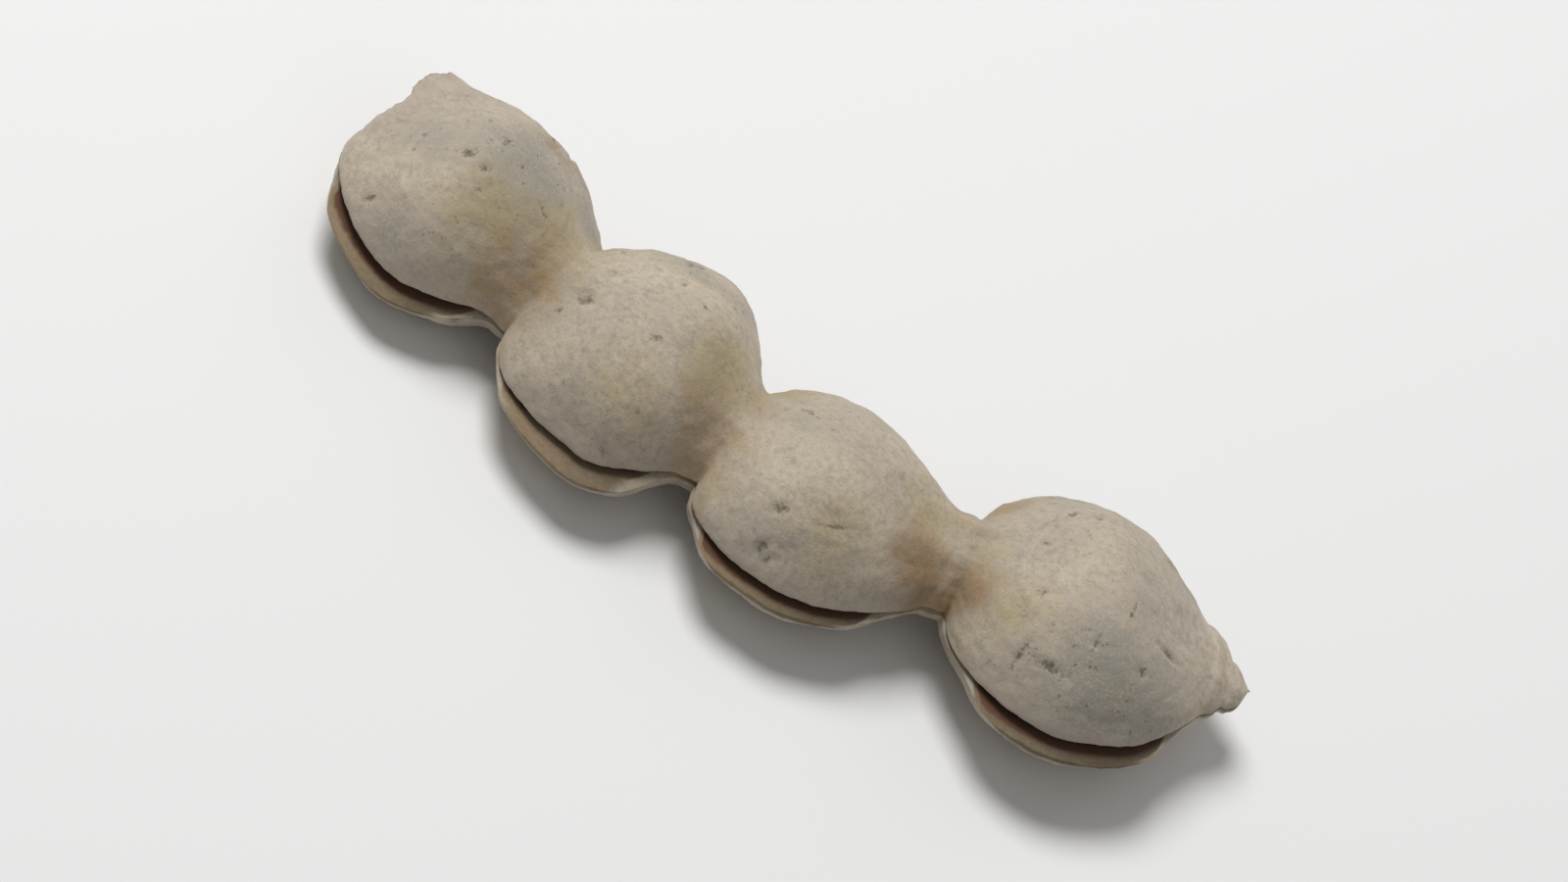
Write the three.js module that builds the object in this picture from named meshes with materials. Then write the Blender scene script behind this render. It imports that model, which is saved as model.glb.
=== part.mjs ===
// A dried acacia pod: four seed lobes strung on narrow necks, torn off at one end and beaked at the other.
// Millimetres, +Z up. The pod lies on its flat side along X, its parted seam faces -Y and it rests on Z = 0.
// The whole pod is one closed skin: a sphere's rows run from the torn end to the beak, and its columns run
// from the bottom of the seam over the upper valve to the back edge, and home again under the lower valve.
import * as THREE from "three";
import { mergeVertices } from "three/addons/utils/BufferGeometryUtils.js";

// Driving dimensions
const BEND_RADIUS = 60; // the string of lobes bends to this arc, hollow on the back side
const REST_HEIGHT = 3.35; // from the surface it lies on up to the plane of the seam
const SEAM_DEPTH = 3.0; // how far the parted seam reaches in at the middle of a lobe
const GROOVE_GAPE = 0.3; // width of the groove that the closed seam makes across a neck
const GROOVE_DEPTH = 0.35; // depth of that groove
const LIP_SWELL = 0.3; // how far a rolled lip stands out beside the seam
const BACK_RIDGE = 0.25; // height of the fine ridge along the closed back edge
const TORN_DISH = 1.1; // hollow in the torn end
const TORN_CREST = 0.8; // height of the rag left standing on the back half of the torn end
const RAG_LENGTH = 0.9; // how far down the neck that rag reaches
const SINK = 0.2; // depth of the shallow sinks where the skin dried onto the seeds
const PUCKER = 0.03; // height of the drawn folds that gather into a neck, as a share of the neck's own

// Stations along the arc, measured from its middle. seam and back are half-widths to each side of a middle
// that stands shift off the arc, towards the back. top and bottom are the heights of the two valves, and roll
// turns the section about the arc, in degrees. Lobes have gape, how far the lips of the open seam are apart,
// ledge, how far the lower valve reaches out past the upper one, flare, the share of it gained from the
// middle to the end, and opens, where the seam starts to part, 0 at the neck and 1 at the middle. The rounds
// shape the edges in plan, where near 0 is square, 0.5 an ellipse, 1 a parabola and more is drawn in like a
// bell. opens and the rounds hold for before and for after the middle.
const PLAIN = {
  gape: GROOVE_GAPE, ledge: 0, flare: 0, opens: [0, 0], seamRounds: [1, 1], backRounds: [1, 1],
};
const TORN_END = { at: -27.4, shift: 0.8, seam: 3.8, back: 3.5, top: 1.9, bottom: 1.6, roll: 7 };
const LOBE_1 = {
  at: -20.9, shift: 0, seam: 6.0, back: 6.6, top: 4.3, bottom: 3.6, roll: 6,
  gape: 0.6, ledge: 1.0, flare: 0.2, opens: [0.1, 0.15], seamRounds: [0.34, 2.6], backRounds: [0.85, 1.0],
};
const NECK_1 = { at: -14.8, shift: 0.2, seam: 3.6, back: 4.1, top: 2.7, bottom: 2.2, roll: 4 };
const LOBE_2 = {
  at: -8.5, shift: 0.5, seam: 6.5, back: 8.0, top: 4.4, bottom: 3.6, roll: 2,
  gape: 0.45, ledge: 1.2, flare: 0.7, opens: [0.1, 0.2], seamRounds: [0.35, 1.9], backRounds: [0.45, 1.2],
};
const NECK_2 = { at: -2.9, shift: 0.7, seam: 3.6, back: 3.9, top: 2.6, bottom: 2.1, roll: 0 };
const LOBE_3 = {
  at: 2.6, shift: 0.5, seam: 6.2, back: 6.8, top: 4.2, bottom: 3.6, roll: -1,
  gape: 0.5, ledge: 0.85, flare: 0, opens: [0.1, 0.15], seamRounds: [0.2, 0.6], backRounds: [0.54, 1.4],
};
const NECK_3 = { at: 9.6, shift: 1.5, seam: 3.4, back: 3.3, top: 2.4, bottom: 1.9, roll: -3 };
const NECK_3_END = { at: 10.8, shift: 1.6, seam: 3.2, back: 3.2, top: 2.4, bottom: 1.9, roll: -3 };
const LOBE_4 = {
  at: 17.5, shift: 1.1, seam: 7.4, back: 8.2, top: 4.5, bottom: 3.6, roll: -5,
  gape: 0.6, ledge: 1.0, flare: 0, opens: [0.2, 0.1], seamRounds: [0.4, 0.75], backRounds: [0.54, 0.54],
};
const BEAK_ROOT = { at: 24.9, shift: 1.5, seam: 3.1, back: 2.9, top: 1.7, bottom: 1.4, roll: -6 };
const BEAK_SHOULDER = { at: 25.9, shift: 1.6, seam: 2.4, back: 2.3, top: 1.2, bottom: 1.0, roll: -6 };
const BEAK_NOSE = {
  at: 26.4, shift: 1.1, seam: 1.8, back: 1.3, top: 0.9, bottom: 0.8, roll: -6, seamRounds: [1, 1.4],
};
const BEAK_TIP = { at: 27.7, shift: 0.9, seam: 0, back: 0, top: 0, bottom: 0, roll: -6 };
const STATIONS = [
  TORN_END, LOBE_1, NECK_1, LOBE_2, NECK_2, LOBE_3, NECK_3, NECK_3_END, LOBE_4,
  BEAK_ROOT, BEAK_SHOULDER, BEAK_NOSE, BEAK_TIP,
].map((station) => ({ ...PLAIN, ...station }));

// Shape of the skin between the stations
const SIDE_ROUND = 1.0; // roundness of a lobe's side view, which is more of a lens than its plan
const DOME_ROUND = 1.1; // 1 makes a valve an elliptic dome, more draws its edges out to a keel
const PLAN_SOFTNESS = 0.08; // rounds the bottom of the notch between two lobes
const SIDE_SOFTNESS = 0.32; // the same for the saddle between two lobes
const SEAM_RUN = 0.5; // share of the way from neck to lobe middle over which the seam parts
const LEDGE_RUN = 0.3; // the same for the ledge below it
const GAPE_LIMIT = 0.4; // the seam is never wider than this share of the upper valve's height
const DEPTH_LIMIT = 0.6; // nor deeper than this share of the seam side's half-width
const LIP_WIDTH = 0.25; // of the rolled lip, in radians round the section
const RIDGE_WIDTH = 0.16; // of the back ridge, in radians round the section
const RAG_SIDE = [-0.2, 2]; // across the torn end, where the rag starts and is at its full height
const SINK_WAVE = { along: 0.9, round: 2.3, slant: 0.35, valve: 1.3 }; // radians per mm, per radian, apart
const FOLD_WAVE = { round: 8, slant: 0.5 }; // folds round a neck, and their slant in radians per mm
const FOLD_FADE = 3; // how quickly the folds die away from a neck

// Fineness of the skin
const CAP_ROWS = 3;
const BODY_ROWS = 114;
const WALL_COLUMNS = 2; // down one wall of the seam
const VALVE_COLUMNS = 22; // over one valve
const LIP = WALL_COLUMNS / (WALL_COLUMNS + VALVE_COLUMNS); // share of a half turn spent in the seam

const { degToRad, lerp, smoothstep } = THREE.MathUtils;
const bump = (distance, width) => Math.exp(-((distance / width) ** 2));

// How far a lobe has swollen, 0 at its neck and 1 at its middle, for a rise that runs evenly from 0 to 1.
function swell(rise, softness, round) {
  const eased = (Math.hypot(rise, softness) - softness) / (Math.hypot(1, softness) - softness);
  return (1 - (1 - eased) ** 2) ** round;
}

// The section at a place along the arc, where each size swells from the narrower station to the wider one.
// lobe is 0 at a neck and 1 at the middle of a lobe.
function sectionAt(at) {
  const next = Math.max(1, STATIONS.findIndex((station) => station.at >= at));
  const [before, after] = [STATIONS[next - 1], STATIONS[next]];
  const share = (at - before.at) / (after.at - before.at);
  const [narrow, wide] = before.seam < after.seam ? [before, after] : [after, before];
  const rise = narrow === before ? share : 1 - share;
  const half = narrow === before ? 0 : 1; // before or after the middle of the wider station
  const side = swell(rise, SIDE_SOFTNESS, SIDE_ROUND);
  const opens = wide.opens[half];
  const ledge = wide.ledge * (1 + wide.flare * (half ? 1 - rise : rise - 1));
  return {
    shift: lerp(before.shift, after.shift, smoothstep(share, 0, 1)),
    seam: lerp(narrow.seam, wide.seam, swell(rise, PLAN_SOFTNESS, wide.seamRounds[half])),
    back: lerp(narrow.back, wide.back, swell(rise, PLAN_SOFTNESS, wide.backRounds[half])),
    top: lerp(narrow.top, wide.top, side),
    bottom: lerp(narrow.bottom, wide.bottom, side),
    roll: degToRad(lerp(before.roll, after.roll, share)),
    gape: wide.gape,
    ledge: ledge * smoothstep(rise, opens, opens + LEDGE_RUN),
    open: wide.ledge ? smoothstep(rise, opens, opens + SEAM_RUN) : 0,
    lobe: wide.ledge ? rise : 0,
  };
}

// A point of the section: across is towards the back, up is away from the plane of the seam.
// turn runs from 0 at the bottom of the seam to 1 at the back edge, and side is 1 above and -1 below.
function sectionPoint(section, at, turn, side) {
  const { open } = section;
  const gape = Math.min(lerp(GROOVE_GAPE, section.gape, open), GAPE_LIMIT * section.top) / 2;
  if (turn < LIP) {
    const out = turn / LIP;
    const depth = Math.min(lerp(GROOVE_DEPTH, SEAM_DEPTH, open), DEPTH_LIMIT * section.seam);
    return { across: section.shift - section.seam + depth * (1 - out), up: side * gape * out };
  }
  const angle = (Math.PI * (turn - LIP)) / (1 - LIP);
  const ledge = side < 0 ? section.ledge : 0;
  const reach = angle < Math.PI / 2 ? section.seam + ledge : section.back;
  const lip = LIP_SWELL * open * bump(angle, LIP_WIDTH);
  const ridge = BACK_RIDGE * section.lobe * bump(Math.PI - angle, RIDGE_WIDTH);
  const alongWave = Math.sin(SINK_WAVE.along * at + SINK_WAVE.valve * side);
  const roundWave = Math.sin(SINK_WAVE.round * angle + SINK_WAVE.slant * at);
  const sink = SINK * section.lobe * alongWave * roundWave;
  const height = side > 0 ? section.top : section.bottom;
  const gathered = (1 - section.lobe) ** FOLD_FADE;
  const fold = PUCKER * height * gathered * Math.sin(FOLD_WAVE.round * angle + FOLD_WAVE.slant * at);
  return {
    across: section.shift - Math.cos(angle) * reach - lip + ridge,
    up: side * (gape * (1 - angle / Math.PI) + Math.sin(angle) ** DOME_ROUND * (height + sink + fold)),
  };
}

// A point of the skin, from its row along the pod and its column round it, each 0 to 1.
function skinPoint(alongShare, roundShare) {
  const row = alongShare * (CAP_ROWS + BODY_ROWS);
  const closing = Math.min(1, row / CAP_ROWS); // 0 at the centre of the torn end, 1 at its rim
  const at = lerp(TORN_END.at, BEAK_TIP.at, Math.max(0, row - CAP_ROWS) / BODY_ROWS);
  const section = sectionAt(at);
  const side = roundShare <= 0.5 ? 1 : -1;
  const turn = side > 0 ? 2 * roundShare : 2 - 2 * roundShare;
  const { across, up } = sectionPoint(section, at, turn, side);

  const rag = TORN_CREST * bump(at - TORN_END.at, RAG_LENGTH) * closing * smoothstep(across, ...RAG_SIDE);
  const place = at + TORN_DISH * (1 - closing ** 2) - rag;
  const [cos, sin] = [Math.cos(section.roll), Math.sin(section.roll)];
  const [rimAcross, rimUp] = [lerp(section.shift, across, closing), closing * up];
  const outward = rimAcross * cos - rimUp * sin;
  const height = rimAcross * sin + rimUp * cos;

  const bend = place / BEND_RADIUS;
  return new THREE.Vector3(
    (BEND_RADIUS - outward) * Math.sin(bend),
    BEND_RADIUS - (BEND_RADIUS - outward) * Math.cos(bend),
    Math.max(0, REST_HEIGHT + height), // the lower valve is pressed flat where it rests
  );
}

function podGeometry() {
  const columns = 2 * (WALL_COLUMNS + VALVE_COLUMNS);
  const skin = new THREE.SphereGeometry(1, columns, CAP_ROWS + BODY_ROWS);
  const { position, uv } = skin.attributes;
  for (let i = 0; i < position.count; i++) {
    const point = skinPoint(1 - uv.getY(i), uv.getX(i) % 1);
    position.setXYZ(i, point.x, point.y, point.z);
  }
  skin.deleteAttribute("normal");
  skin.deleteAttribute("uv");
  const closed = mergeVertices(skin, 1e-3);
  closed.computeBoundingBox();
  const middle = closed.boundingBox.getCenter(new THREE.Vector3());
  closed.translate(-middle.x, -middle.y, -closed.boundingBox.min.z);
  closed.computeVertexNormals();
  return closed;
}

const felt = new THREE.MeshStandardMaterial({ color: "#b5a68c", roughness: 0.95, metalness: 0 });

const pod = new THREE.Mesh(podGeometry(), felt);
pod.name = "pod";

const part = new THREE.Group();
part.name = "dried_acacia_pod";
part.add(pod);

export default part;
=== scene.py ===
"""Looks of a dried acacia pod: a fine felted skin over the pod's solid, on a plain pale floor."""

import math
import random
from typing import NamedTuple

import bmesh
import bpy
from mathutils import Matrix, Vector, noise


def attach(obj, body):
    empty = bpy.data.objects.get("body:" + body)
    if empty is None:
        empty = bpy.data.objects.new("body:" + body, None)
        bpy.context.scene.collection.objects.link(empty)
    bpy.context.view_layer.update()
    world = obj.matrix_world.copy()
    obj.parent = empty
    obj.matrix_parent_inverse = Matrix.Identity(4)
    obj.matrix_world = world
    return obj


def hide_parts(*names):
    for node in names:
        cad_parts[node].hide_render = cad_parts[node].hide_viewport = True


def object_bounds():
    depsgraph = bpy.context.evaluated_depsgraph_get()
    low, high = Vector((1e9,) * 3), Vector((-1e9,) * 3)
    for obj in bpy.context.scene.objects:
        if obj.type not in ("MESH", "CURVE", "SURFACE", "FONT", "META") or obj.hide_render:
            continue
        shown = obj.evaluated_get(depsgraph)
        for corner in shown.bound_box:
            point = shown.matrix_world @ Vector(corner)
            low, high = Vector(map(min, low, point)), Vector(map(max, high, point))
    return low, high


bl_info = {
    "name": "Dried Acacia Pod",
    "version": (1, 0, 0),
    "blender": (4, 5, 0),
    "location": "View3D > Sidebar > Pod",
    "description": "Dresses the solid of a dried acacia pod in felted skin, and sets it in a plain studio",
    "category": "Object",
}

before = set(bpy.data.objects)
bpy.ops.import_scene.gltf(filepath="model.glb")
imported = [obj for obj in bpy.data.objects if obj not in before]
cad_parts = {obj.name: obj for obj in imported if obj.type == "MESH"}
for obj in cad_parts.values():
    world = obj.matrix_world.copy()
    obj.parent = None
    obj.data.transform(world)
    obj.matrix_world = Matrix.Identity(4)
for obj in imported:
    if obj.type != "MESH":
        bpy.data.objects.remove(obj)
CAD_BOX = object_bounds()
MM = 0.001

# Main sizes of the pod in millimetres, as its solid has them
BEND_RADIUS = 60  # of the arc that the string of lobes bends to
REST_HEIGHT = 3.35  # from the floor up to the plane of the seam
SEAM_DEPTH = 3.0  # how far the parted seam reaches in at the middle of a lobe
GROOVE_GAPE = 0.3  # width of the groove that the closed seam makes across a neck
GROOVE_DEPTH = 0.35  # depth of that groove
LIP_SWELL = 0.3  # how far a rolled lip stands out beside the seam
BACK_RIDGE = 0.25  # height of the fine ridge along the closed back edge
TORN_DISH = 1.1  # hollow in the torn end
TORN_CREST = 0.8  # height of the rag left standing on the back half of the torn end
RAG_LENGTH = 0.9  # how far down the neck that rag reaches
SINK = 0.2  # depth of the shallow sinks over a lobe
PUCKER = 0.03  # height of the drawn folds that gather into a neck, as a share of the neck's own


class Station(NamedTuple):
    """A section of the pod at a place along its arc, in millimetres and degrees, as its solid has them.

    seam and back are half-widths from a middle that stands shift off the arc, towards the back. top and
    bottom are the heights of the two valves, and roll turns the section about the arc.
    The lips of a lobe's open seam are gape apart. The lower one reaches out by ledge, and gains the share
    flare of that from the lobe's middle to its end. opens is where the seam starts to part, 0 at the neck and
    1 at the middle, and the rounds shape the edges in plan. Both hold for before and for after the middle.
    ribbon is how far in the wall of the open seam is still pale, and the lip shade is how far painted shade
    darkens the lower lip, from 0 to 1, for the shade that the upper valve casts on it.
    """

    at: float
    shift: float
    seam: float
    back: float
    top: float
    bottom: float
    roll: float
    gape: float = GROOVE_GAPE
    ledge: float = 0
    flare: float = 0
    opens: tuple = (0, 0)
    seam_rounds: tuple = (1, 1)
    back_rounds: tuple = (1, 1)
    ribbon: float = 0.6
    lip_shade: float = 0


TORN_END = Station(-27.4, 0.8, 3.8, 3.5, 1.9, 1.6, 7)
LOBES = [
    Station(
        at=-20.9, shift=0, seam=6, back=6.6, top=4.3, bottom=3.6, roll=6, gape=0.6, ledge=1, flare=0.2,
        opens=(0.1, 0.15), seam_rounds=(0.34, 2.6), back_rounds=(0.85, 1), ribbon=0.7, lip_shade=0.35),
    Station(
        at=-8.5, shift=0.5, seam=6.5, back=8, top=4.4, bottom=3.6, roll=2, gape=0.45, ledge=1.2, flare=0.7,
        opens=(0.1, 0.2), seam_rounds=(0.35, 1.9), back_rounds=(0.45, 1.2), ribbon=1.6, lip_shade=0.4),
    Station(
        at=2.6, shift=0.5, seam=6.2, back=6.8, top=4.2, bottom=3.6, roll=-1, gape=0.5, ledge=0.85,
        opens=(0.1, 0.15), seam_rounds=(0.2, 0.6), back_rounds=(0.54, 1.4), ribbon=0.5, lip_shade=0.6),
    Station(
        at=17.5, shift=1.1, seam=7.4, back=8.2, top=4.5, bottom=3.6, roll=-5, gape=0.6, ledge=1,
        opens=(0.2, 0.1), seam_rounds=(0.4, 0.75), back_rounds=(0.54, 0.54), ribbon=0.6, lip_shade=0.8),
]
NECKS = [
    Station(-14.8, 0.2, 3.6, 4.1, 2.7, 2.2, 4),
    Station(-2.9, 0.7, 3.6, 3.9, 2.6, 2.1, 0),
    Station(9.6, 1.5, 3.4, 3.3, 2.4, 1.9, -3),
    Station(10.8, 1.6, 3.2, 3.2, 2.4, 1.9, -3),
]
BEAK_ROOT = Station(24.9, 1.5, 3.1, 2.9, 1.7, 1.4, -6)
BEAK_SHOULDER = Station(25.9, 1.6, 2.4, 2.3, 1.2, 1.0, -6)
BEAK_NOSE = Station(26.4, 1.1, 1.8, 1.3, 0.9, 0.8, -6, seam_rounds=(1, 1.4))
BEAK_TIP = Station(27.7, 0.9, 0, 0, 0, 0, -6)
STATIONS = sorted([TORN_END, *LOBES, *NECKS, BEAK_ROOT, BEAK_SHOULDER, BEAK_NOSE, BEAK_TIP])

# Shape of the skin between the stations
SIDE_ROUND = 1.0  # roundness of a lobe's side view, which is more of a lens than its plan
DOME_ROUND = 1.1  # 1 makes a valve an elliptic dome, more draws its edges out to a keel
PLAN_SOFTNESS = 0.08  # rounds the bottom of the notch between two lobes
SIDE_SOFTNESS = 0.32  # the same for the saddle between two lobes
SEAM_RUN = 0.5  # share of the way from neck to lobe middle over which the seam parts
LEDGE_RUN = 0.3  # the same for the ledge below it
GAPE_LIMIT = 0.4  # the seam is never wider than this share of the upper valve's height
DEPTH_LIMIT = 0.6  # nor deeper than this share of the seam side's half-width
WALL_HOLLOW = 1.5  # rounds the wall of the seam over into its lip
GROOVE_ROUND = 0.5  # rounds the bottom of the seam
LIP_WIDTH = 0.25  # of the rolled lip, in radians round the section
# Painted shade on the lower lip, deepening towards a lobe's end where the next lobe shades it
LIP_SHADE_TURN = 0.6  # how much darker the lower lip gets from the middle of a lobe to its end
RIDGE_WIDTH = 0.16  # of the back ridge, in radians round the section
RAG_SIDE = (-0.2, 2)  # across the torn end, where the rag starts and is at its full height
RAG_FADE = 4  # how quickly the rag dies away from the rim of the torn end towards its centre
SINK_ALONG = 0.9  # waves of the sinks along the pod, in radians to a millimetre
SINK_ROUND = 2.3  # the same round the section, to a radian
SINK_SLANT = 0.35  # how those slant, in radians to a millimetre
SINK_VALVE = 1.3  # how far the waves of a valve are ahead or behind, in radians
FOLD_ROUND = 8  # waves of the folds round a neck, to a radian
FOLD_SLANT = 0.5  # how they slant, in radians to a millimetre
FOLD_FADE = 3  # how quickly they die away from a neck

# Unevenness of the lips and of the torn edge, in a coarse and a fine layer of noise: its height in
# millimetres, how quickly it turns with each of two measures, and a seed
LIP_RAGS = [(0.08, 0.5, 7.0, 0), (0.03, 1.9, 3.0, 5)]
TORN_RAGS = [(0.14, 0.9, 1.1, 9), (0.09, 2.7, 3.1, 2)]

# Fineness of the skin
CAP_ROWS = 16  # over the torn end
BODY_ROWS = 364  # from there to the tip of the beak
WALL_COLUMNS = 14  # down one wall of the seam
VALVE_COLUMNS = 106  # over one valve
COLUMNS = 2 * (WALL_COLUMNS + VALVE_COLUMNS)
LIP = WALL_COLUMNS / (WALL_COLUMNS + VALVE_COLUMNS)  # share of a half turn spent in the seam


def row_place(row):
    """Where along the arc a row of the skin stands."""
    share = max(0, row - CAP_ROWS) / BODY_ROWS
    return TORN_END.at * (1 - share) + BEAK_TIP.at * share


class Mark(NamedTuple):
    """A pit or scratch in a valve, placed from the middle of its lobe, in millimetres and degrees.

    side is 1 on the upper valve and -1 on the lower one.
    """

    lobe: int
    along: float
    across: float
    length: float
    width: float
    lean: float
    depth: float
    side: int = 1


MARKS = [
    Mark(0, -1.5, -0.3, 0.5, 0.42, 40, 0.24),
    Mark(0, -1.1, 2.0, 0.5, 0.42, 0, 0.24),
    Mark(0, -0.3, -0.4, 0.4, 0.3, 70, 0.18),
    Mark(0, 0.4, -1.5, 0.28, 0.2, 70, 0.08),
    Mark(0, -2.8, -5.0, 0.42, 0.28, 20, 0.12),
    Mark(0, 3.0, 1.0, 0.7, 0.16, -10, 0.06),
    Mark(1, -4.6, -0.6, 0.6, 0.5, 30, 0.32),
    Mark(1, -5.0, -2.0, 0.3, 0.22, 60, 0.12),
    Mark(1, -1.6, 3.9, 0.34, 0.24, 60, 0.12),
    Mark(1, 0, 3.4, 0.65, 0.2, -25, 0.12),
    Mark(1, -0.4, -0.5, 0.6, 0.3, 20, 0.06),
    Mark(1, 1.3, -5.7, 0.5, 0.2, 0, 0.1),
    Mark(2, -1.6, -3.7, 0.5, 0.34, 10, 0.16),
    Mark(2, -1.3, -5.2, 0.4, 0.3, 50, 0.16),
    Mark(2, -0.9, -5.5, 0.4, 0.2, 20, 0.12),
    Mark(2, -3.1, 2.9, 0.5, 0.3, 0, 0.1),
    Mark(2, 1.1, -3.1, 1.3, 0.14, 25, 0.06),
    Mark(3, -3.1, -4.3, 0.85, 0.22, 75, 0.19),
    Mark(3, -1.7, -4.6, 1.1, 0.24, -15, 0.19),
    Mark(3, 0.1, -2.9, 0.6, 0.16, 80, 0.08),
    Mark(3, 4.4, -1.0, 0.95, 0.24, -2, 0.22),
    Mark(3, 2.9, -3.1, 0.55, 0.28, 70, 0.18),
    Mark(3, -3.5, 2.5, 0.4, 0.32, 0, 0.1),
    Mark(3, -3.1, -1.0, 0.36, 0.28, 30, 0.12),
    Mark(3, 1.7, -0.2, 0.9, 0.14, 80, 0.06),
]

# Marks strewn over the unseen sides: how many, and between which values each is drawn
STREWN_SEED = 11
STREWN_COUNT = 48
STREWN_UPPER = 3  # one in so many is on the upper valve
STREWN_ALONG = (-4.5, 4.5)
STREWN_BELOW = (-5, 6)  # across the lower valve
STREWN_FAR = (5.2, 7.5)  # across the far side of the upper one
STREWN_LENGTH = (0.3, 0.9)
STREWN_WIDTH = (0.15, 0.35)
STREWN_LEAN = (0, 180)
STREWN_DEPTH = (0.06, 0.2)


def strewn_marks():
    """Marks strewn over the lower valve and down the far side of the upper one."""
    draw = random.Random(STREWN_SEED)
    marks = []
    for number in range(STREWN_COUNT):
        side = -1 if number % STREWN_UPPER else 1
        across = draw.uniform(*(STREWN_BELOW if side < 0 else STREWN_FAR))
        marks.append(Mark(
            lobe=number % len(LOBES),
            along=draw.uniform(*STREWN_ALONG),
            across=across,
            length=draw.uniform(*STREWN_LENGTH),
            width=draw.uniform(*STREWN_WIDTH),
            lean=draw.uniform(*STREWN_LEAN),
            depth=draw.uniform(*STREWN_DEPTH),
            side=side,
        ))
    return marks


ALL_MARKS = MARKS + strewn_marks()

# Form of a mark
MARK_REACH = 3  # millimetres from its middle, past which it isn't looked for
MARK_WAVES = 3.1  # waves of its ragged outline to a millimetre
MARK_RAGGED = 0.45  # how far that outline wanders, as a share of the mark's size
MARK_FLOOR = 0.8  # how wide its floor is, as such a share
MARK_RIM_AT = 1.5  # how far out a rim is raised round it
MARK_RIM_WIDTH = 0.4  # how wide that rim is
MARK_RIM = 0.15  # how high, as a share of the mark's depth
MARK_DEEP = 0.7  # share of its stated depth that is cut


class Patch(NamedTuple):
    """A place where the felt of the upper valve is rubbed grey, placed as a mark is."""

    lobe: int
    along: float
    across: float
    radius: float
    strength: float


PATCHES = [
    Patch(0, 0.2, 2.3, 3.2, 1.15),
    Patch(0, -3.4, -1.0, 2.2, 0.6),
    Patch(0, -0.6, -5.4, 2.4, 0.55),
    Patch(0, 2.1, -4.7, 2.2, 0.4),
    Patch(1, -2.4, -5.6, 2.2, 0.4),
    Patch(1, 0.6, -5.4, 2.0, 0.3),
    Patch(1, -0.4, 3.4, 2.4, 0.25),
    Patch(2, -2.0, -5.4, 2.0, 0.3),
    Patch(2, -3.1, 2.4, 3.0, 0.55),
    Patch(3, 1.1, -4.1, 3.4, 1.2),
    Patch(3, 3.5, -4.2, 3.0, 1.1),
    Patch(3, -2.6, -4.4, 2.0, 0.6),
    Patch(3, 1.6, -0.4, 2.4, 0.5),
    Patch(3, -1.5, 3.5, 3.0, 0.35),
]


class Stain(NamedTuple):
    """A place where the felt is tinted, by its place along the arc and across it, in millimetres."""

    at: float
    across: float
    radius: float
    strength: float


# Ochre stains by the necks, the first two partly painted shade in the valleys between lobes there, and places
# with an olive cast
STAINS_AND_SHADE = [
    Stain(-16.0, -1.8, 3.0, 0.8),
    Stain(-4.3, -1.6, 2.6, 0.75),
    Stain(8.4, -1.4, 2.2, 1.0),
    Stain(11.0, -1.2, 1.8, 1.0),
    Stain(10.2, 2.4, 1.5, 0.5),
]
OLIVES = [
    Stain(-19.4, -1.2, 2.8, 0.8),
    Stain(-16.8, 0.6, 2.4, 0.8),
    Stain(-8.1, -3.4, 2.6, 0.5),
    Stain(-5.4, 1.2, 2.8, 0.9),
    Stain(3.7, -3.1, 2.4, 0.55),
    Stain(7.8, 1.4, 2.2, 0.7),
    Stain(13.4, -2.2, 2.2, 0.5),
]

# Clouds of wear and tint on the unseen sides: waves to a millimetre along the pod, and a seed
RUB_CLOUD = (0.22, 0)
STAIN_CLOUD = (0.2, 30)
OLIVE_CLOUD = (0.2, 50)
CLOUD_ACROSS = 0.3  # waves to a millimetre across the pod
CLOUD_APART = 4  # between the clouds of one valve and of the other
RUB_LEVEL = 0.35  # how rubbed those sides are between the clouds
RUB_CONTRAST = 1.2  # how much more so in a cloud
TINT_CONTRAST = 1.1  # how strongly a cloud tints
NECK_TINT = 0.35  # how strongly a neck is tinted all round
NECK_REACH = 1.7  # millimetres to each side of a neck
FAR_SIDE = (1.9, 2.4)  # radians round the upper valve from the seam, over which it turns out of sight

# Tones of the seam and of the torn end, told as millimetres past the start of the chestnut wall; the deepest
# are painted shade
FELT_TONE = -1
CRACK_TONE = 0.1  # in the groove beside the torn end
# The centre of the torn end is painted dark, as shade in its hollow
HEART_TONE = 1.5  # at the centre of the torn end
HEART_FALL = 2.2  # how much lower it is at the rim
UPPER_TONE = -0.9  # on the lip of the upper valve
UPPER_RUN = 0.2  # millimetres in from that lip, over which it darkens
LOWER_TONE = -0.15  # on the lower lip inside the seam
EDGE_TONE = -0.2  # on the outer edge of the lower lip
EDGE_WIDTH = 0.22  # of that edge, in radians round the section
WALL_RUN = 0.5  # how far the seam has parted where the wall has its full tone

# Pale rims: their widths, in millimetres along the pod or radians round it
TORN_RIM = 0.5
LIP_RIM = 0.13
RIDGE_RIM = 0.05
RIDGE_PALENESS = 0.6

# Fine relief: waves to a millimetre, to a radian round the section or to a valve
DENT_WAVES = 0.33
LUMP_WAVES = 0.8
LUMP_LAYERS = (0.7, 2.2, 4)  # how they fade, how much finer each is, and how many there are
PLEAT_WAVES = (5, 0.25, 3)  # round, along and by valve
CREASE_WAVES = (1.5, 0.5, 3)  # along, across and by valve
LINE_WAVES = (0.3, 8, 1)  # along, round and by valve
LINE_SIDE = (1.6, 2.6)  # radians round the section, over which the lines come in
SEAM_CALM = 0.3  # millimetres into the seam, over which the relief dies away
BEAK_CALM = (0.3, 4)  # millimetres from the tip of the beak, over which it grows


def lerp(start, end, share):
    return start + (end - start) * share


def smoothstep(value, low, high):
    share = min(1, max(0, (value - low) / (high - low)))
    return share * share * (3 - 2 * share)


def bump(distance, width):
    return math.exp(-((distance / width) ** 2))


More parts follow.
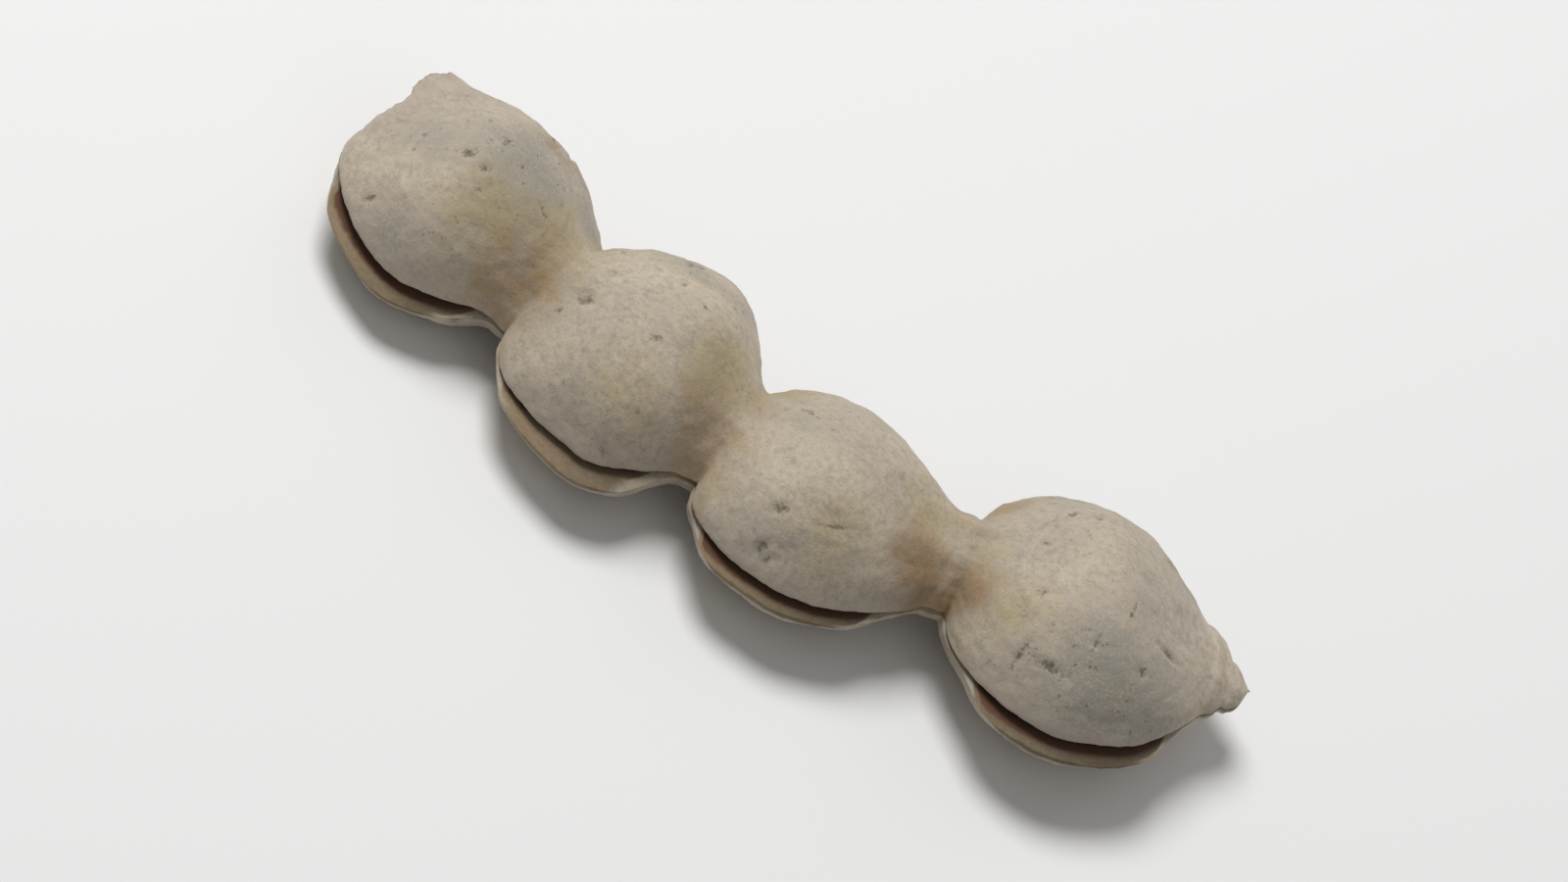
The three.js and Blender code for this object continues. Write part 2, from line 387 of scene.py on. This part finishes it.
def swell(rise, softness, roundness):
    """How far a lobe has swollen, 0 at its neck and 1 at its middle, for an even rise from 0 to 1."""
    eased = (math.hypot(rise, softness) - softness) / (math.hypot(1, softness) - softness)
    return max(0, 1 - (1 - eased) ** 2) ** roundness


class Section(NamedTuple):
    """The pod's section at any place along its arc, with its sizes as in a station.

    parted is how far the seam has opened, from 0 to 1, and lobe is 0 at a neck and 1 at the middle of a lobe.
    """

    shift: float
    seam: float
    back: float
    top: float
    bottom: float
    roll: float
    gape: float
    ledge: float
    parted: float
    lobe: float
    ribbon: float
    lip_shade: float


def section_at(at):
    """The section at a place along the arc, swelling from the narrower station beside it to the wider one."""
    last = len(STATIONS) - 1
    place = max(1, next((i for i, station in enumerate(STATIONS) if station.at >= at), last))
    before = STATIONS[place - 1]
    after = STATIONS[place]
    share = (at - before.at) / (after.at - before.at)
    narrow, wide = (before, after) if before.seam < after.seam else (after, before)
    half = 0 if narrow is before else 1
    rise = 1 - share if half else share
    side = swell(rise, SIDE_SOFTNESS, SIDE_ROUND)
    opens = wide.opens[half]
    onward = 1 - rise if half else rise - 1
    ledge = wide.ledge * (1 + wide.flare * onward) * smoothstep(rise, opens, opens + LEDGE_RUN)
    return Section(
        shift=lerp(before.shift, after.shift, smoothstep(share, 0, 1)),
        seam=lerp(narrow.seam, wide.seam, swell(rise, PLAN_SOFTNESS, wide.seam_rounds[half])),
        back=lerp(narrow.back, wide.back, swell(rise, PLAN_SOFTNESS, wide.back_rounds[half])),
        top=lerp(narrow.top, wide.top, side),
        bottom=lerp(narrow.bottom, wide.bottom, side),
        roll=math.radians(lerp(before.roll, after.roll, share)),
        gape=wide.gape,
        ledge=ledge,
        parted=smoothstep(rise, opens, opens + SEAM_RUN) if wide.ledge else 0,
        lobe=rise if wide.ledge else 0,
        ribbon=wide.ribbon * min(1, 1 + onward),
        # painted shade on the lower lip
        lip_shade=min(1, max(0, wide.lip_shade + LIP_SHADE_TURN * onward)),
    )


class Place(NamedTuple):
    """A point of the skin before it is bent to the arc.

    across is towards the back, and up is off the plane of the seam. side is 1 on the upper valve and -1 on
    the lower one, and angle runs round the valve from its lip to the back edge, in radians.
    inside is how far the point lies in the parted seam, in millimetres from its lip. ribbon and the painted
    lip shade are as in a station, and ring is the distance from the nearest lobe's middle.
    closing is 0 at the centre of the torn end and 1 at its rim.
    """

    at: float
    across: float
    up: float
    roll: float
    side: int
    angle: float
    lobe: float
    parted: float
    inside: float
    ribbon: float
    lip_shade: float
    ring: float
    closing: float


def ragged(rags, first, second):
    """How far an uneven edge stands out at two measures of a place, in millimetres."""
    return sum(height * noise.noise((one * first, two * second, seed)) for height, one, two, seed in rags)


def skin_place(row, column, section):
    """The place of a vertex in the given row and column of the skin, with its ragged lips and torn end."""
    closing = min(1, row / CAP_ROWS)
    at = row_place(row)
    half = COLUMNS // 2
    side = 1 if column <= half else -1
    turn = (column if side > 0 else COLUMNS - column) / half
    parted = section.parted
    gape = min(lerp(GROOVE_GAPE, section.gape, parted), GAPE_LIMIT * section.top) / 2
    ledge = section.ledge if side < 0 else 0
    lip = LIP_SWELL * parted + ragged(LIP_RAGS, at, side) * parted
    if turn < LIP:
        out = turn / LIP
        depth = min(lerp(GROOVE_DEPTH, SEAM_DEPTH, parted), DEPTH_LIMIT * section.seam)
        inside = (depth + lip + ledge) * (1 - out) ** WALL_HOLLOW
        across = section.shift - section.seam - lip - ledge + inside
        up = side * gape * out ** GROOVE_ROUND
        angle = 0
    else:
        angle = math.pi * (turn - LIP) / (1 - LIP)
        inside = 0
        reach = section.seam + ledge if angle < math.pi / 2 else section.back
        ridge = BACK_RIDGE * section.lobe * bump(math.pi - angle, RIDGE_WIDTH)
        along_wave = math.sin(SINK_ALONG * at + SINK_VALVE * side)
        round_wave = math.sin(SINK_ROUND * angle + SINK_SLANT * at)
        height = section.top if side > 0 else section.bottom
        gathered = (1 - section.lobe) ** FOLD_FADE
        fold = PUCKER * height * gathered * math.sin(FOLD_ROUND * angle + FOLD_SLANT * at)
        height += SINK * section.lobe * along_wave * round_wave + fold
        across = section.shift - math.cos(angle) * reach - lip * bump(angle, LIP_WIDTH) + ridge
        up = side * (gape * (1 - angle / math.pi) + math.sin(angle) ** DOME_ROUND * height)
    near_end = bump(at - TORN_END.at, RAG_LENGTH)
    rag_height = TORN_CREST * smoothstep(across, *RAG_SIDE) + ragged(TORN_RAGS, across, up)
    return Place(
        at=at + TORN_DISH * (1 - closing ** 2) - near_end * closing ** RAG_FADE * rag_height,
        across=lerp(section.shift, across, closing),
        up=closing * up,
        roll=section.roll,
        side=side,
        angle=angle,
        lobe=section.lobe,
        parted=parted,
        inside=inside,
        ribbon=section.ribbon,
        lip_shade=section.lip_shade,
        ring=min(math.hypot(at - lobe.at, across - lobe.shift) for lobe in LOBES),
        closing=closing,
    )


def bent(at, across, up, roll):
    """The point at a place, bent to the arc, in millimetres."""
    outward = across * math.cos(roll) - up * math.sin(roll)
    height = across * math.sin(roll) + up * math.cos(roll)
    bend = at / BEND_RADIUS
    return Vector((
        (BEND_RADIUS - outward) * math.sin(bend),
        BEND_RADIUS - (BEND_RADIUS - outward) * math.cos(bend),
        REST_HEIGHT + height,
    ))


def skin_offset():
    """From the arc's own frame to the solid's: the tip of the beak is the same point in both."""
    tip = max(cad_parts["pod"].data.vertices, key=lambda vertex: vertex.co.x).co
    return tip / MM - bent(BEAK_TIP.at, BEAK_TIP.shift, 0, math.radians(BEAK_TIP.roll))


def mark_depth(place):
    """How deep the marks on the skin are here, in millimetres, and how dark, from 0 to 1."""
    depth = 0
    dark = 0
    for mark in ALL_MARKS:
        along = place.at - LOBES[mark.lobe].at - mark.along
        across = place.across - mark.across
        if mark.side != place.side or max(abs(along), abs(across)) > MARK_REACH:
            continue
        lean = math.radians(mark.lean)
        run = (along * math.cos(lean) + across * math.sin(lean)) / mark.length
        cross = (across * math.cos(lean) - along * math.sin(lean)) / mark.width
        wander = noise.noise((MARK_WAVES * place.at, MARK_WAVES * place.across, mark.along))
        away = max(0, math.hypot(run, cross) + MARK_RAGGED * wander)
        floor = bump(away, MARK_FLOOR)
        rim = MARK_RIM * bump(away - MARK_RIM_AT, MARK_RIM_WIDTH)
        depth += MARK_DEEP * mark.depth * (floor - rim)
        dark = max(dark, floor)
    return depth, dark


def unseen(place):
    """How far a point is on the lower valve or down the far side of the upper one, from 0 to 1."""
    return smoothstep(place.angle, *FAR_SIDE) if place.side > 0 else 1


def cloud(place, along, seed):
    """Noise in soft clouds, which differ from one valve to the other."""
    return noise.noise((along * place.at, CLOUD_ACROSS * place.across, seed + CLOUD_APART * place.side))


def rubbed(place):
    """How much the felt is rubbed away here: 0 is not at all, and 1 or more is all of it."""
    worn = unseen(place) * max(0, RUB_LEVEL + RUB_CONTRAST * cloud(place, *RUB_CLOUD))
    if place.side < 0:
        return worn
    for patch in PATCHES:
        away = math.hypot(place.at - LOBES[patch.lobe].at - patch.along, place.across - patch.across)
        worn = max(worn, patch.strength * bump(away, patch.radius))
    return worn


def near_neck(place):
    """How near a neck between two lobes is, from 0 to 1."""
    return max(bump(place.at - neck.at, NECK_REACH) for neck in NECKS)


def tinted(place, stains, clouds):
    """How strongly the felt is tinted, by stains and by clouds on the unseen sides: 1 or more is fully."""
    clouded = unseen(place) * max(0, TINT_CONTRAST * cloud(place, *clouds))
    tints = [NECK_TINT * near_neck(place) + clouded]
    if place.side < 0:
        return tints[0]
    for stain in stains:
        away = math.hypot(place.at - stain.at, place.across - stain.across)
        tints.append(stain.strength * bump(away, stain.radius))
    return max(tints)


def seam_tone(place):
    """The tone of a point of the skin: the tan ribbon between felt and chestnut wall is just below 0, and
    tones well past it are painted shade deep in the seam and in the hollow of the torn end.
    """
    crack = CRACK_TONE if place.inside else FELT_TONE
    if place.closing < 1:
        return max(crack, HEART_TONE - HEART_FALL * place.closing)
    if place.inside:
        crack = lerp(FELT_TONE, crack, bump(place.at - TORN_END.at, RAG_LENGTH))
        tan = UPPER_TONE * bump(place.inside, UPPER_RUN) if place.side > 0 else LOWER_TONE
        wall = lerp(FELT_TONE, place.inside - place.ribbon, smoothstep(place.parted, 0, WALL_RUN))
        return max(crack, lerp(FELT_TONE, tan, place.parted), wall)
    if place.side > 0:
        return FELT_TONE
    return lerp(FELT_TONE, EDGE_TONE, place.parted * bump(place.angle, EDGE_WIDTH))


def pale_rim(place):
    """How pale the skin is here as a torn edge, an upper lip or the ridge of the back, from 0 to 1."""
    torn = 0 if place.inside else bump(place.at - TORN_END.at, TORN_RIM) * place.closing
    lip = place.parted * bump(place.angle, LIP_RIM) if place.side > 0 else 0
    ridge = RIDGE_PALENESS * place.lobe * bump(math.pi - place.angle, RIDGE_RIM)
    return max(torn, lip, ridge)


ATTRIBUTES = ("rub", "stain", "olive", "seam", "mark", "rim", "ring", "lip_shade")


def attribute_values(place, dark):
    """What the material reads at a point of the skin, in the order of its attributes."""
    return (
        rubbed(place),
        tinted(place, STAINS_AND_SHADE, STAIN_CLOUD),
        tinted(place, OLIVES, OLIVE_CLOUD),
        seam_tone(place),
        dark,
        pale_rim(place),
        place.ring,
        place.lip_shade,
    )


def ripple(waves, *measures):
    """Noise at a place, with so many waves to a unit of each of its measures."""
    return noise.noise([wave * measure for wave, measure in zip(waves, measures)])


def relief(point, place, marks, sizes):
    """How far the dried skin stands out at a point, in millimetres: its dents, lumps, wrinkles and marks."""
    dents = sizes.dents / MM * noise.noise(DENT_WAVES * point)
    lumps = sizes.lumps / MM * noise.fractal(LUMP_WAVES * point, *LUMP_LAYERS)
    pleat = ripple(PLEAT_WAVES, place.angle, place.at, place.side)
    crease = ripple(CREASE_WAVES, place.at, place.across, place.side)
    wrinkles = sizes.wrinkles / MM * near_neck(place) * (pleat + crease)
    lines = sizes.lines / MM * ripple(LINE_WAVES, place.at, place.angle, place.side)
    lines *= smoothstep(place.angle, *LINE_SIDE)
    outside = 1 - smoothstep(place.inside, 0, SEAM_CALM)
    beak = smoothstep(BEAK_TIP.at - place.at, *BEAK_CALM)
    return outside * beak * (dents + lumps + wrinkles + lines - marks)


class PodSizes(bpy.types.PropertyGroup):
    """Sizes of the fine relief that a user may change."""

    dents: bpy.props.FloatProperty(
        name="Dents", description="Depth of the soft dents over a lobe",
        default=0.00011, unit="LENGTH", precision=6)
    lumps: bpy.props.FloatProperty(
        name="Lumps", description="Height of the mealy lumps of the skin",
        default=0.00006, unit="LENGTH", precision=6)
    wrinkles: bpy.props.FloatProperty(
        name="Wrinkles", description="Height of the wrinkles round a neck",
        default=0.00006, unit="LENGTH", precision=6)
    lines: bpy.props.FloatProperty(
        name="Lines", description="Height of the fine lines that follow the back edge",
        default=0.00006, unit="LENGTH", precision=6)
    grain: bpy.props.FloatProperty(
        name="Grain", description="Height of the felt's fine grain",
        default=0.00006, unit="LENGTH", precision=6)


def colour(name, description, default):
    return bpy.props.FloatVectorProperty(
        name=name, description=description, default=default, subtype="COLOR", size=3, min=0, max=1)


class PodColours(bpy.types.PropertyGroup):
    """Colours of the pod and its stage that a user may change."""

    cream: colour("Cream felt", "Fresh felt", (0.50, 0.427, 0.335))
    beige: colour("Beige felt", "Dusty felt", (0.43, 0.374, 0.30))
    olive: colour("Olive felt", "Felt with a greenish cast", (0.40, 0.325, 0.20))
    grey: colour("Rubbed grey", "Skin that shows where the felt is rubbed away", (0.26, 0.245, 0.21))
    ochre: colour("Ochre", "Stain at the necks", (0.262, 0.168, 0.083))
    speck: colour("Speck", "Pits, scratches and specks", (0.10, 0.088, 0.066))
    rim: colour("Pale rim", "Lips and torn edges", (0.52, 0.44, 0.37))
    ribbon: colour("Ribbon", "Lower lip where it shows below the seam", (0.30, 0.225, 0.14))
    # Painted shade: the lower lip where the upper valve and the next lobe shade it
    lip_shade: colour("Dusky lip", "The lower lip where it is darkest", (0.10, 0.076, 0.048))
    chestnut: colour("Chestnut", "Inner wall just inside the seam", (0.12, 0.058, 0.033))
    # Painted shade: the bottom of the seam and the hollow of the torn end
    dark: colour("Seam", "Bottom of the seam", (0.022, 0.012, 0.007))
    floor: colour("Floor", "Floor and its surround", (0.86, 0.86, 0.855))


class Value:
    """A shader socket that takes part in Python expressions, each of which adds a Math node."""

    def __init__(self, finish, socket):
        self.finish = finish
        self.socket = socket

    def math(self, operation, first, second):
        return self.finish.node("ShaderNodeMath", {"operation": operation}, {0: first, 1: second})

    def __add__(self, other):
        return self.math("ADD", self, other)

    __radd__ = __add__

    def __sub__(self, other):
        return self.math("SUBTRACT", self, other)

    def __rsub__(self, other):
        return self.math("SUBTRACT", other, self)

    def __mul__(self, other):
        return self.math("MULTIPLY", self, other)

    __rmul__ = __mul__


class Finish:
    """The node tree of one material."""

    def __init__(self, name):
        self.material = bpy.data.materials.new(name)
        self.material.use_nodes = True
        self.tree = self.material.node_tree
        self.tree.nodes.clear()
        self.layers = {}

    def node(self, kind, settings=None, inputs=None, output=0):
        """Adds a node, sets it, fills or links its sockets, and gives one of its outputs."""
        made = self.tree.nodes.new(kind)
        for name, setting in (settings or {}).items():
            setattr(made, name, setting)
        for name, given in (inputs or {}).items():
            if isinstance(given, Value):
                self.tree.links.new(given.socket, made.inputs[name])
            else:
                made.inputs[name].default_value = given
        return Value(self, made.outputs[output]) if len(made.outputs) else None

    def millimetres(self):
        place = self.node("ShaderNodeTexCoord", output="Object")
        return self.node("ShaderNodeVectorMath", {"operation": "SCALE"}, {"Vector": place, "Scale": 1 / MM})

    def noise(self, place, scale, detail=2.0, roughness=0.5, distortion=0.0):
        return self.node("ShaderNodeTexNoise", None, {
            "Vector": place, "Scale": scale, "Detail": detail,
            "Roughness": roughness, "Distortion": distortion})

    def attribute(self, name):
        return self.node("ShaderNodeAttribute", {"attribute_name": name}, output="Fac")

    def between(self, value, low, high):
        return self.node("ShaderNodeMapRange", {"interpolation_type": "SMOOTHSTEP"}, {
            "Value": value, "From Min": low, "From Max": high})

    def mix(self, first, second, share):
        first, second = [c if isinstance(c, Value) else (*c, 1) for c in (first, second)]
        return self.node("ShaderNodeMix", {"data_type": "RGBA"}, {0: share, 6: first, 7: second}, output=2)

    def dim(self, tint, share):
        return self.node("ShaderNodeVectorMath", {"operation": "SCALE"}, {"Vector": tint, "Scale": share})

    def broken(self, value, weights):
        """A value broken up by layers of noise, each added by its weight."""
        for name, weight in weights.items():
            value = value + weight * self.layers[name]
        return value

    def laid(self, tint, drive=0):
        """How much of a tint shows for the value that drives it."""
        return tint.strength * self.between(self.broken(drive, tint.breaks), *tint.edge)

    def close(self, shader):
        self.node("ShaderNodeOutputMaterial", None, {"Surface": shader})
        return self.material


class Tint(NamedTuple):
    """How a tint lies on the skin.

    breaks are the weights of the noise that breaks up the value that drives it, and edge is between which
    values it comes in. strength is its share where it is fullest.
    """

    breaks: dict
    edge: tuple
    strength: float = 1


# Layers of noise in the felt: waves to a millimetre, detail and roughness
FELT_LAYERS = {
    "drift": (0.16, 2),
    "blotch": (0.7, 3, 0.6),
    "mottle": (2.6, 3, 0.6),
    "grit": (5.0, 3, 0.65),
    "grain": (11.0, 3, 0.6),
    "fuzz": (26.0, 2),
}
SPECK_LAYER = (1.9, 2, 0.65)
NOISE_MIDDLE = 0.5

# Rings round the middle of a lobe: waves to a millimetre, and how far out they come in
RING_WAVES = 1.8
RING_RUN = (2, 4.5)
RING_BREAKS = {"blotch": 0.5}

BEIGE = Tint({"drift": 1, "blotch": 0.5}, (-0.12, 0.12))
OLIVE = Tint({"blotch": 1}, (0.0, 0.9))
RUBBED = Tint({"blotch": 1.1, "mottle": 1.6, "grit": 2.0}, (0.25, 1.1), 0.75)
OCHRE = Tint({"blotch": 0.9, "mottle": 0.7}, (0.1, 1.1), 0.9)
SPECKS = Tint({}, (0.64, 0.72), 0.18)
SCARS = Tint({"mottle": 1, "grit": 2.2}, (0.3, 1.1), 0.75)
TAN = Tint({"mottle": 0.3}, (-0.6, -0.25))
WALL = Tint({"mottle": 0.5}, (-0.05, 0.3))
# Painted shade deep in the seam and in the torn end, past the chestnut wall
SEAM_SHADE = Tint({}, (0.7, 1.5))
PATCHINESS = 0.5  # of the felt where it isn't rubbed
RUBBED_SPECKS = 0.5  # how much stronger specks are where it is
RIM_STRENGTH = 0.6
# Noise that breaks up the painted shade on the lower lip
LIP_SHADE_BREAKS = {"blotch": 0.6}

# Weights of the noise in the shade of the felt and of the tan lip, and in the felt's height
FELT_SHADE = {"blotch": 0.55, "mottle": 0.7, "grit": 0.45, "grain": 0.45, "rings": 0.25}
TAN_SHADE = {"blotch": 0.5, "mottle": 0.6, "grain": 0.4}
FELT_HEIGHT = {"mottle": 0.5, "grit": 0.5, "grain": 0.4, "fuzz": 0.25, "rings": 0.5}
FELT_ROUGHNESS = 0.95
RUBBED_POLISH = 0.15


def felted_skin(colours, sizes):
    """Matte felt: cream and beige, rubbed grey in patches, ochre at the necks and partly painted shade there,
    a tan lower lip under painted shade, chestnut in the seam with painted shade deep in it.
    """
    finish = Finish("felted_skin")
    place = finish.millimetres()
    finish.layers = {name: finish.noise(place, *layer) - NOISE_MIDDLE for name, layer in FELT_LAYERS.items()}
    rub = finish.attribute("rub")
    seam = finish.attribute("seam")
    ring = finish.attribute("ring")
    rings = finish.node("ShaderNodeTexNoise", {"noise_dimensions": "1D"}, {
        "W": finish.broken(ring, RING_BREAKS), "Scale": RING_WAVES})
    finish.layers["rings"] = (rings - NOISE_MIDDLE) * finish.between(ring, *RING_RUN)

    felt = finish.mix(colours.cream, colours.beige, finish.laid(BEIGE))
    felt = finish.mix(felt, colours.olive, finish.laid(OLIVE, finish.attribute("olive")))
    patchy = finish.broken(0, RUBBED.breaks)
    worn = finish.between(rub + (PATCHINESS + rub) * patchy, *RUBBED.edge)
    felt = finish.mix(felt, colours.grey, RUBBED.strength * worn)
    # Ochre stains at the necks, at the first two partly painted shade in the valleys between lobes
    felt = finish.mix(felt, colours.ochre, finish.laid(OCHRE, finish.attribute("stain")))
    felt = finish.dim(felt, finish.broken(1, FELT_SHADE))
    specks = finish.between(finish.noise(place, *SPECK_LAYER), *SPECKS.edge)
    felt = finish.mix(felt, colours.speck, specks * (SPECKS.strength + RUBBED_SPECKS * rub))
    felt = finish.mix(felt, colours.speck, finish.laid(SCARS, finish.attribute("mark")))
    felt = finish.mix(felt, colours.rim, RIM_STRENGTH * finish.attribute("rim"))
    # The tan lower lip, darkened by painted shade where the upper valve and the next lobe shade it
    tan = finish.mix(colours.ribbon, colours.lip_shade, finish.broken(finish.attribute("lip_shade"), LIP_SHADE_BREAKS))
    tan = finish.dim(tan, finish.broken(1, TAN_SHADE))
    ribbon = finish.mix(felt, tan, finish.laid(TAN, seam))
    # The chestnut wall, with painted shade where the seam and the torn end go deep
    wall = finish.mix(colours.chestnut, colours.dark, finish.laid(SEAM_SHADE, seam))
    skin = finish.mix(ribbon, wall, finish.laid(WALL, seam))

    normal = finish.node("ShaderNodeBump", None, {
        "Strength": 0.8, "Distance": sizes.grain, "Height": finish.broken(0, FELT_HEIGHT)})
    return finish.close(finish.node("ShaderNodeBsdfPrincipled", None, {
        "Base Color": skin, "Roughness": FELT_ROUGHNESS - RUBBED_POLISH * worn, "Normal": normal,
        "Specular IOR Level": 0.2, "Sheen Weight": 0.25, "Sheen Roughness": 0.5,
        "Sheen Tint": (1.0, 0.95, 0.86, 1)}))


# Faint clouds in the floor: waves to a millimetre and detail, and how bright their darkest part is
FLOOR_CLOUD = (0.02, 2)
FLOOR_SHADE = 0.985


def pale_floor(colours):
    """Plain matte floor."""
    finish = Finish("pale_floor")
    shaded = [FLOOR_SHADE * part for part in colours.floor]
    shade = finish.mix(colours.floor, shaded, finish.noise(finish.millimetres(), *FLOOR_CLOUD))
    return finish.close(finish.node("ShaderNodeBsdfPrincipled", None, {
        "Base Color": shade, "Roughness": 0.9, "Specular IOR Level": 0.1}))


def new_object(name, bm, material):
    """An object at the origin from a bmesh, shaded smooth."""
    mesh = bpy.data.meshes.new(name)
    bm.to_mesh(mesh)
    bm.free()
    mesh.shade_smooth()
    mesh.materials.append(material)
    made = bpy.data.objects.new(name, mesh)
    bpy.context.scene.collection.objects.link(made)
    return made


class POD_OT_skin(bpy.types.Operator):
    """Make the felted skin, which stands for the pod's solid"""

    bl_idname = "pod.skin"
    bl_label = "Felted skin"

    def execute(self, context):
        sizes = context.scene.pod_sizes
        rows = CAP_ROWS + BODY_ROWS
        bm = bmesh.new()
        bmesh.ops.create_uvsphere(bm, u_segments=COLUMNS, v_segments=rows, radius=1)
        sections = [section_at(row_place(row)) for row in range(rows + 1)]
        offset = skin_offset()
        places = []
        for vertex in bm.verts:
            x, y, z = vertex.co
            row = round(math.acos(max(-1, min(1, z))) / math.pi * rows)
            column = round(math.atan2(y, x) / math.tau * COLUMNS) % COLUMNS
            place = skin_place(row, column, sections[row])
            places.append(place)
            vertex.co = bent(place.at, place.across, place.up, place.roll) + offset
        bm.normal_update()

        layers = [bm.verts.layers.float.new(name) for name in ATTRIBUTES]
        points = []
        for vertex, place in zip(bm.verts, places):
            depth, dark = (0, 0) if place.inside else mark_depth(place)
            points.append(vertex.co + vertex.normal * relief(vertex.co, place, depth, sizes))
            for layer, value in zip(layers, attribute_values(place, dark)):
                vertex[layer] = value
        for vertex, point in zip(bm.verts, points):
            vertex.co = point * MM
            vertex.co.z = max(0, vertex.co.z)
        skin = new_object("pod_skin", bm, felted_skin(context.scene.pod_colours, sizes))
        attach(skin, "root")
        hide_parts("pod")
        return {"FINISHED"}


# The camera, in metres and in millimetres for its sensor
CAMERA_RISE = math.radians(48)  # how far it looks down on the pod
CAMERA_TURN = math.radians(34.4)  # how far the picture is turned
CAMERA_DISTANCE = 0.5
PICTURE_WIDTH = 0.080  # of what the picture shows at the pod
SENSOR_WIDTH = 36.0
CLIP_START = 0.01

# The rest of the stage
FLOOR_SIZE = 3.0
WORLD_COLOUR = (1, 1, 1, 1)
WORLD_STRENGTH = 0.24


class Lamp(NamedTuple):
    """A round light: the way to it from the pod, its distance and width in metres, and its power in watts."""

    name: str
    way: tuple
    distance: float
    width: float
    power: float


# Lamps that stand by the camera, with their ways to its right, up and back
CAMERA_LAMPS = [
    Lamp("key", (0.12, 0.9, 0.42), 0.5, 0.26, 2.1),
    Lamp("fill", (0.5, -0.2, 1), 0.6, 0.5, 0.15),
]
# One that stands by the pod, with its way in the pod's own frame
POD_LAMP = Lamp("behind", (0.4, 1, 0.7), 0.6, 0.4, 0.25)


def camera_axes():
    """A matrix with the camera's right, up and backward directions as its columns."""
    tilt = Vector((0, math.sin(CAMERA_RISE), math.cos(CAMERA_RISE)))
    along = Vector((1, 0, 0))
    right = math.cos(CAMERA_TURN) * along + math.sin(CAMERA_TURN) * tilt
    up = math.cos(CAMERA_TURN) * tilt - math.sin(CAMERA_TURN) * along
    return Matrix((right, up, right.cross(up))).transposed()


def area_light(lamp, direction, target):
    light = bpy.data.lights.new(lamp.name, "AREA")
    light.shape = "DISK"
    light.size = lamp.width
    light.energy = lamp.power
    made = bpy.data.objects.new(lamp.name, light)
    made.location = target + direction.normalized() * lamp.distance
    made.rotation_euler = direction.to_track_quat("Z", "Y").to_euler()
    bpy.context.scene.collection.objects.link(made)


class POD_OT_stage(bpy.types.Operator):
    """Set the floor, the light and the camera"""

    bl_idname = "pod.stage"
    bl_label = "Stage"

    def execute(self, context):
        scene = context.scene
        colours = scene.pod_colours
        bm = bmesh.new()
        bmesh.ops.create_grid(bm, x_segments=1, y_segments=1, size=FLOOR_SIZE / 2)
        floor = new_object("floor", bm, pale_floor(colours))

        low, high = CAD_BOX
        target = (low + high) / 2
        axes = camera_axes()
        for lamp in CAMERA_LAMPS:
            area_light(lamp, axes @ Vector(lamp.way), target)
        area_light(POD_LAMP, Vector(POD_LAMP.way), target)
        world = bpy.data.worlds.new("studio")
        world.use_nodes = True
        backdrop = world.node_tree.nodes["Background"]
        backdrop.inputs["Color"].default_value = WORLD_COLOUR
        backdrop.inputs["Strength"].default_value = WORLD_STRENGTH
        scene.world = world
        scene.view_settings.view_transform = "Standard"

        camera = bpy.data.cameras.new("camera")
        camera.sensor_width = SENSOR_WIDTH
        camera.lens = SENSOR_WIDTH * CAMERA_DISTANCE / PICTURE_WIDTH
        camera.clip_start = CLIP_START
        made = bpy.data.objects.new("camera", camera)
        made.matrix_world = Matrix.Translation(target + axes.col[2] * CAMERA_DISTANCE) @ axes.to_4x4()
        scene.collection.objects.link(made)
        scene.camera = made
        return {"FINISHED"}


class POD_PT_panel(bpy.types.Panel):
    """The pod's operators and settings in the sidebar"""

    bl_label = "Dried Acacia Pod"
    bl_idname = "POD_PT_panel"
    bl_space_type = "VIEW_3D"
    bl_region_type = "UI"
    bl_category = "Pod"

    def draw(self, context):
        for operator in OPERATORS:
            self.layout.operator(operator.bl_idname)
        for group in (context.scene.pod_sizes, context.scene.pod_colours):
            for name in group.__annotations__:
                self.layout.prop(group, name)


OPERATORS = (POD_OT_skin, POD_OT_stage)
CLASSES = (PodSizes, PodColours, *OPERATORS, POD_PT_panel)


def register():
    for made in CLASSES:
        bpy.utils.register_class(made)
    bpy.types.Scene.pod_sizes = bpy.props.PointerProperty(type=PodSizes)
    bpy.types.Scene.pod_colours = bpy.props.PointerProperty(type=PodColours)


def unregister():
    del bpy.types.Scene.pod_colours
    del bpy.types.Scene.pod_sizes
    for made in reversed(CLASSES):
        bpy.utils.unregister_class(made)


def main():
    register()
    bpy.ops.pod.skin()
    bpy.ops.pod.stage()


if __name__ == "__main__":
    main()
